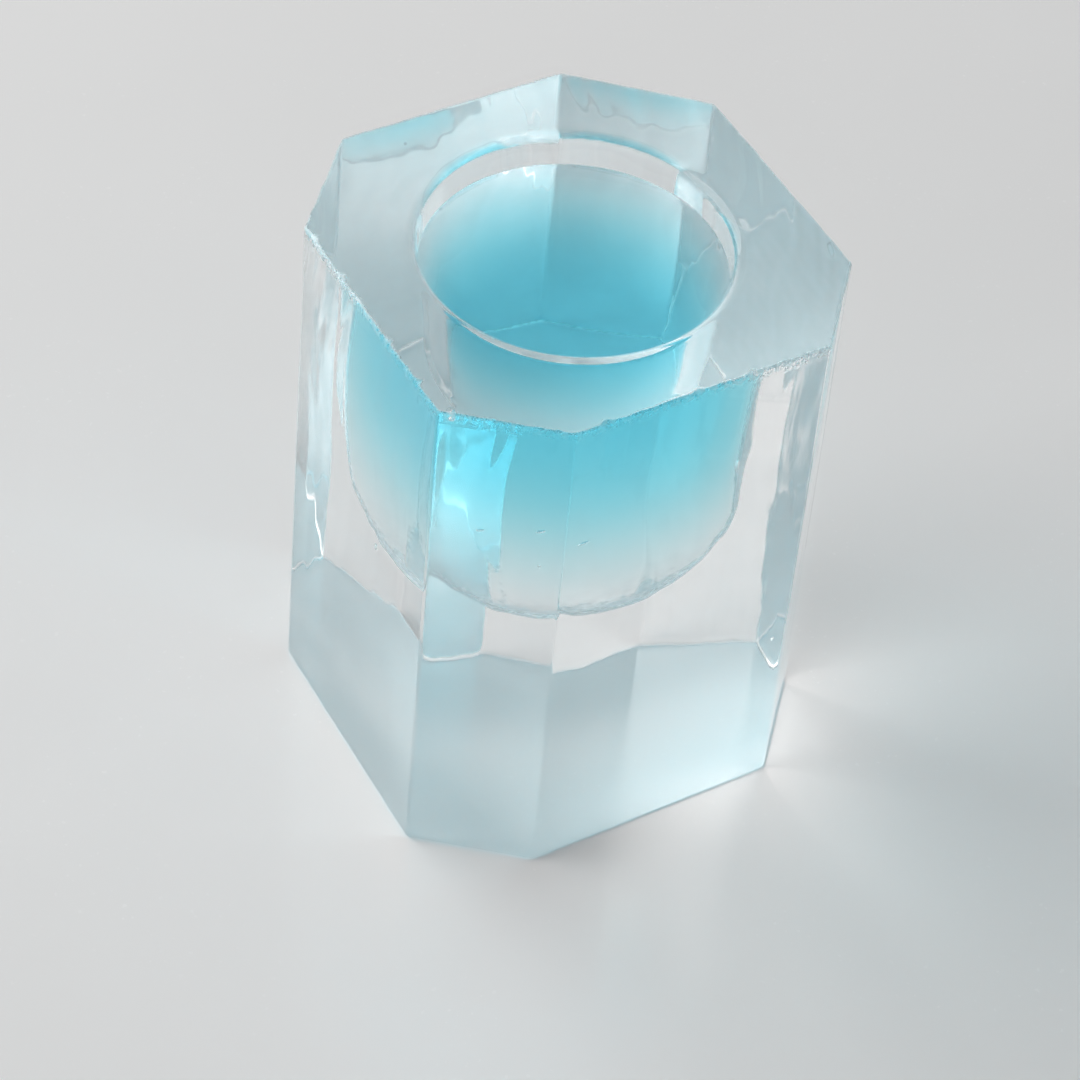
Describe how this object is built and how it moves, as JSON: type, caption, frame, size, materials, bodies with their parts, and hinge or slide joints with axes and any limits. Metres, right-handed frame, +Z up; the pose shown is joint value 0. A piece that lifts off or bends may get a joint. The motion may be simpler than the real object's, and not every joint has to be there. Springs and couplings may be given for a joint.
{
  "type": "dappen dish",
  "caption": "Small faceted clear glass dish with a deep round well in its top, part filled with blue liquid; holds drops of fluid for dipping a brush or an instrument.",
  "frame": {"origin": "middle of the base, on the surface that the dish stands on", "axes": "+Z up along the well; X and Y square to the wide sides, with the narrowest corner facet at -X -Y"},
  "size_m": [0.029, 0.029, 0.038],
  "materials": {
    "clear_glass": "gloss",
    "blue_liquid": "gloss"
  },
  "bodies": {
    "root": {"glass_dish": "clear_glass", "blue_liquid": "blue_liquid"}
  },
  "joints": []
}
